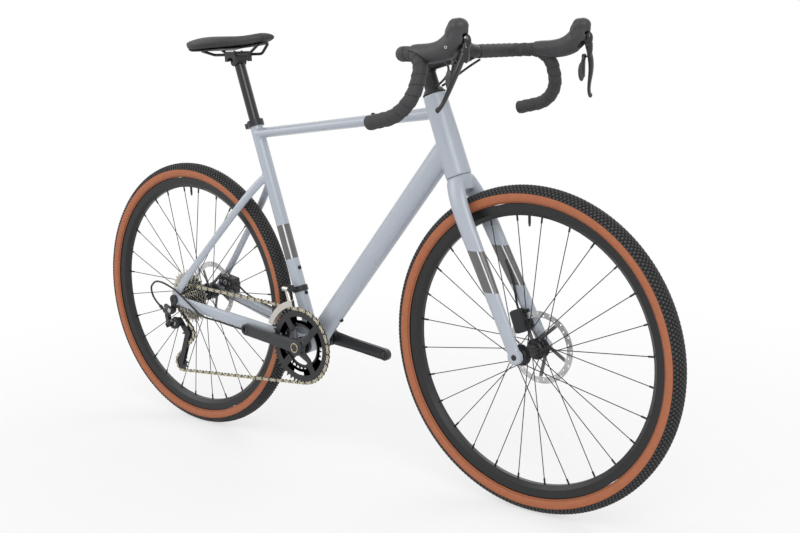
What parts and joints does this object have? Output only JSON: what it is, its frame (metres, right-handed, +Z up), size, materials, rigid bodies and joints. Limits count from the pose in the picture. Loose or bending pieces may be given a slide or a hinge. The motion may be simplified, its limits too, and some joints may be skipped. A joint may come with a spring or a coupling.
{
  "type": "gravel bicycle",
  "caption": "Drop-bar gravel bicycle with straight fork, disc brakes, twin chainrings, long-cage rear derailleur, knobbly tan-wall tyres and bare crank ends.",
  "frame": {"origin": "on the ground plane, midway between the two wheel axles, in the plane of the wheels", "axes": "+X forward, +Y to the rider's left, +Z up; wheels rest at Z = 0 with the steering straight"},
  "size_m": [1.7837, 0.5658, 1.0471],
  "materials": {
    "frame_paint": "satin pale blue-grey paint",
    "black_alloy": "black anodised",
    "crank_alloy": "satin dark grey anodised",
    "black_steel": "black oxide",
    "bright_steel": "bright plated",
    "rotor_steel": "ground",
    "cable_sheath": "matte black sheath",
    "gloss_black": "gloss black",
    "paddle_grey": "satin dark grey",
    "black_plastic": "matte black",
    "pad_compound": "sintered",
    "saddle_skin": "smooth dark grey cover",
    "bar_wrap": "wrapped dark grey tape",
    "hood_rubber": "dark grey rubber",
    "tyre_rubber": "black tread with tan sidewalls"
  },
  "bodies": {
    "frame": {"head_tube": "frame_paint", "top_tube": "frame_paint", "down_tube": "frame_paint", "seat_tube": "frame_paint", "bottom_bracket_shell": "frame_paint", "chainstays": "frame_paint", "seatstays": "frame_paint", "derailleur_hanger": "black_alloy", "seat_clamp": "black_alloy", "frame_bearings": "black_alloy", "frame_bolts": "black_steel", "rear_thru_axle": "black_alloy", "rear_caliper": "black_alloy", "fd_body": "black_alloy", "frame_cables": "cable_sheath", "chain": "bright_steel", "rd_mount": "black_alloy"},
    "seatpost": {"seatpost": "gloss_black"},
    "saddle_clamp": {"saddle_clamp": "black_alloy"},
    "saddle": {"saddle_rails": "black_steel", "saddle_shell": "black_plastic", "saddle_cover": "saddle_skin"},
    "steering": {"fork": "frame_paint", "front_thru_axle": "black_alloy", "front_caliper": "black_alloy", "front_hoses": "cable_sheath", "headset_spacers": "black_alloy", "stem": "black_alloy", "stem_faceplate": "black_alloy", "handlebar": "black_alloy", "bar_tape": "bar_wrap", "control_hoods": "hood_rubber"},
    "front_wheel": {"front_tyre": "tyre_rubber", "front_rim": "black_alloy", "front_spokes": "black_steel", "front_hub": "black_alloy", "front_rotor": "rotor_steel"},
    "rear_wheel": {"rear_tyre": "tyre_rubber", "rear_rim": "black_alloy", "rear_spokes": "black_steel", "rear_hub": "black_alloy", "rear_rotor": "rotor_steel"},
    "crank": {"crank_right": "crank_alloy", "crank_left": "crank_alloy", "chainrings": "crank_alloy"},
    "cassette": {"cassette": "bright_steel"},
    "brake_lever_left": {"brake_lever_left": "gloss_black"},
    "brake_lever_right": {"brake_lever_right": "gloss_black"},
    "shift_paddle_left": {"shift_paddle_left": "paddle_grey"},
    "shift_paddle_right": {"shift_paddle_right": "paddle_grey"},
    "front_pad_inner": {"front_pad_inner": "pad_compound"},
    "front_pad_outer": {"front_pad_outer": "pad_compound"},
    "rear_pad_inner": {"rear_pad_inner": "pad_compound"},
    "rear_pad_outer": {"rear_pad_outer": "pad_compound"},
    "rd_link": {"rd_link": "black_alloy"},
    "rd_knuckle": {"rd_knuckle": "black_alloy"},
    "rd_cage": {"rd_cage": "black_alloy"},
    "rd_guide_pulley": {"rd_guide_pulley": "black_plastic"},
    "rd_tension_pulley": {"rd_tension_pulley": "black_plastic"},
    "fd_cage": {"fd_cage": "bright_steel"}
  },
  "joints": [
    {"name": "steering_turn", "type": "hinge", "parent": "frame", "child": "steering", "pos_m": [0.48981, 0, 0.33964], "axis": [-0.3338, 0, 0.9426], "range_deg": [-60, 60], "stiffness_Nm_per_rad": 1.2},
    {"name": "front_wheel_spin", "type": "hinge", "parent": "steering", "child": "front_wheel", "pos_m": [0.536, 0, 0.356], "axis": [0, 1, 0], "continuous": true},
    {"name": "rear_wheel_spin", "type": "hinge", "parent": "frame", "child": "rear_wheel", "pos_m": [-0.536, 0, 0.356], "axis": [0, 1, 0], "continuous": true},
    {"name": "crank_spin", "type": "hinge", "parent": "frame", "child": "crank", "pos_m": [-0.10177, 0, 0.285], "axis": [0, 1, 0], "continuous": true, "deforming": ["chain"]},
    {"name": "cassette_spin", "type": "hinge", "parent": "frame", "child": "cassette", "pos_m": [-0.536, 0, 0.356], "axis": [0, 1, 0], "continuous": true},
    {"name": "rd_link_swing", "type": "hinge", "parent": "frame", "child": "rd_link", "pos_m": [-0.582, -0.072, 0.322], "axis": [0.824, 0, 0.5665], "range_deg": [-18, 24], "stiffness_Nm_per_rad": 4},
    {"name": "rd_knuckle_swing", "type": "hinge", "parent": "rd_link", "child": "rd_knuckle", "pos_m": [-0.56, -0.084, 0.29], "axis": [0.824, 0, 0.5665], "range_deg": [-24, 18]},
    {"name": "rd_cage_turn", "type": "hinge", "parent": "rd_knuckle", "child": "rd_cage", "pos_m": [-0.548, 0, 0.29], "axis": [0, 1, 0], "range_deg": [-32, 14], "stiffness_Nm_per_rad": 3},
    {"name": "guide_pulley_spin", "type": "hinge", "parent": "rd_cage", "child": "rd_guide_pulley", "pos_m": [-0.52271, -0.0506, 0.26045], "axis": [0, 1, 0], "continuous": true},
    {"name": "tension_pulley_spin", "type": "hinge", "parent": "rd_cage", "child": "rd_tension_pulley", "pos_m": [-0.55689, -0.0506, 0.17396], "axis": [0, 1, 0], "continuous": true},
    {"name": "fd_cage_swing", "type": "hinge", "parent": "frame", "child": "fd_cage", "pos_m": [-0.14577, -0.0466, 0.423], "axis": [1, 0, 0], "range_deg": [0, 9], "stiffness_Nm_per_rad": 3},
    {"name": "brake_lever_left_pull", "type": "hinge", "parent": "steering", "child": "brake_lever_left", "pos_m": [0.53473, 0.222, 1.00913], "axis": [0, 1, 0], "range_deg": [0, 20], "stiffness_Nm_per_rad": 1.5},
    {"name": "brake_lever_right_pull", "type": "hinge", "parent": "steering", "child": "brake_lever_right", "pos_m": [0.53473, -0.222, 1.00913], "axis": [0, 1, 0], "range_deg": [0, 20], "stiffness_Nm_per_rad": 1.5},
    {"name": "shift_paddle_left_swing", "type": "hinge", "parent": "brake_lever_left", "child": "shift_paddle_left", "pos_m": [0.52873, 0.236, 0.96713], "axis": [-1, 0, 0], "range_deg": [0, 14], "stiffness_Nm_per_rad": 0.5},
    {"name": "shift_paddle_right_swing", "type": "hinge", "parent": "brake_lever_right", "child": "shift_paddle_right", "pos_m": [0.52873, -0.236, 0.96713], "axis": [1, 0, 0], "range_deg": [0, 14], "stiffness_Nm_per_rad": 0.5},
    {"name": "front_pad_inner_close", "type": "slide", "parent": "steering", "child": "front_pad_inner", "axis": [0, 1, 0], "range_m": [0, 0.0004]},
    {"name": "front_pad_outer_close", "type": "slide", "parent": "steering", "child": "front_pad_outer", "axis": [0, -1, 0], "range_m": [0, 0.0004]},
    {"name": "rear_pad_inner_close", "type": "slide", "parent": "frame", "child": "rear_pad_inner", "axis": [0, 1, 0], "range_m": [0, 0.0004]},
    {"name": "rear_pad_outer_close", "type": "slide", "parent": "frame", "child": "rear_pad_outer", "axis": [0, -1, 0], "range_m": [0, 0.0004]},
    {"name": "seatpost_height", "type": "slide", "parent": "frame", "child": "seatpost", "axis": [-0.3057, 0, 0.9521], "range_m": [-0.06, 0.04]},
    {"name": "saddle_tilt", "type": "hinge", "parent": "seatpost", "child": "saddle_clamp", "pos_m": [-0.32444, 0, 0.9735], "axis": [0, 1, 0], "range_deg": [-8, 8]},
    {"name": "saddle_reach", "type": "slide", "parent": "saddle_clamp", "child": "saddle", "axis": [1, 0, 0], "range_m": [-0.015, 0.015]}
  ],
  "couplings": [
    {"joint": "cassette_spin", "follows": "crank_spin", "ratio": 2.4211},
    {"joint": "guide_pulley_spin", "follows": "crank_spin", "ratio": -4.1818},
    {"joint": "tension_pulley_spin", "follows": "crank_spin", "ratio": 4.1818},
    {"joint": "rd_knuckle_swing", "follows": "rd_link_swing", "ratio": -1},
    {"joint": "front_pad_inner_close", "follows": "brake_lever_left_pull", "m_per_rad": 0.0011},
    {"joint": "front_pad_outer_close", "follows": "brake_lever_left_pull", "m_per_rad": 0.0011},
    {"joint": "rear_pad_inner_close", "follows": "brake_lever_right_pull", "m_per_rad": 0.0011},
    {"joint": "rear_pad_outer_close", "follows": "brake_lever_right_pull", "m_per_rad": 0.0011}
  ]
}
